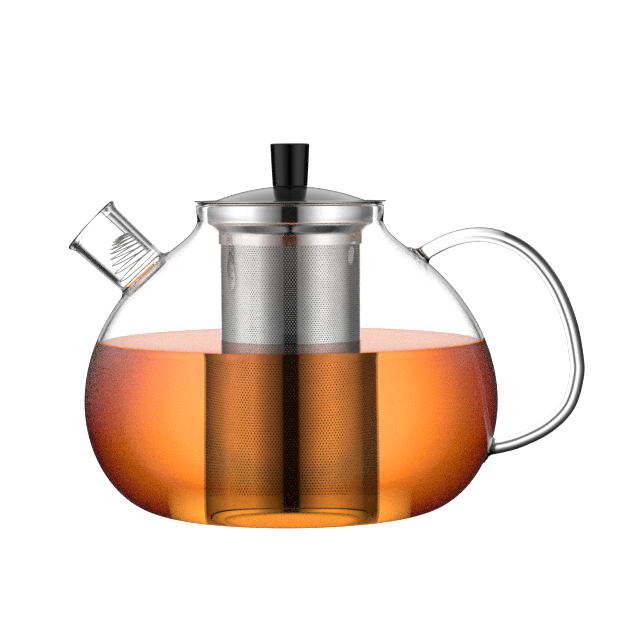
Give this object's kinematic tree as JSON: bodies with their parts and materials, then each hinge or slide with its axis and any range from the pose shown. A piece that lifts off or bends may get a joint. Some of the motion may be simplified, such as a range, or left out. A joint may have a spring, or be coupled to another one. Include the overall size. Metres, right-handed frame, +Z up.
{
  "type": "glass teapot",
  "caption": "Round clear glass teapot with a short straight spout, loop glass handle, lift-out perforated steel infuser, domed steel lid with black knob and a coil strainer in the spout.",
  "frame": {"origin": "centre of the flat base, on the pot's axis", "axes": "+Z up along the pot's axis, +X towards the handle, -X towards the spout"},
  "size_m": [0.1982, 0.1588, 0.1403],
  "materials": {
    "pot_glass": "clear polished borosilicate glass",
    "polished_steel": "satin, turned",
    "perforated_steel": "satin, finely perforated",
    "lid_steel": "fine spun brushing",
    "knob_plastic": "smooth black, slightly satin",
    "fastener_steel": "plain",
    "filter_wire": "drawn bright wire"
  },
  "bodies": {
    "pot": {"glass_body": "pot_glass", "spout_tube": "pot_glass", "handle": "pot_glass"},
    "infuser": {"infuser_collar": "polished_steel", "infuser_sleeve": "perforated_steel", "infuser_base": "polished_steel"},
    "lid": {"lid_dome": "lid_steel", "lid_skirt": "lid_steel", "lid_knob": "knob_plastic", "knob_screw": "fastener_steel", "knob_washer": "fastener_steel"},
    "filter": {"spout_filter": "filter_wire"}
  },
  "joints": [
    {"name": "infuser_lift", "type": "slide", "parent": "pot", "child": "infuser", "axis": [0, 0, 1], "range_m": [0, 0.115]},
    {"name": "lid_lift", "type": "slide", "parent": "infuser", "child": "lid", "axis": [0, 0, 1], "range_m": [0, 0.05]},
    {"name": "filter_pull", "type": "slide", "parent": "pot", "child": "filter", "axis": [-0.7314, 0, 0.682], "range_m": [0, 0.04]}
  ]
}
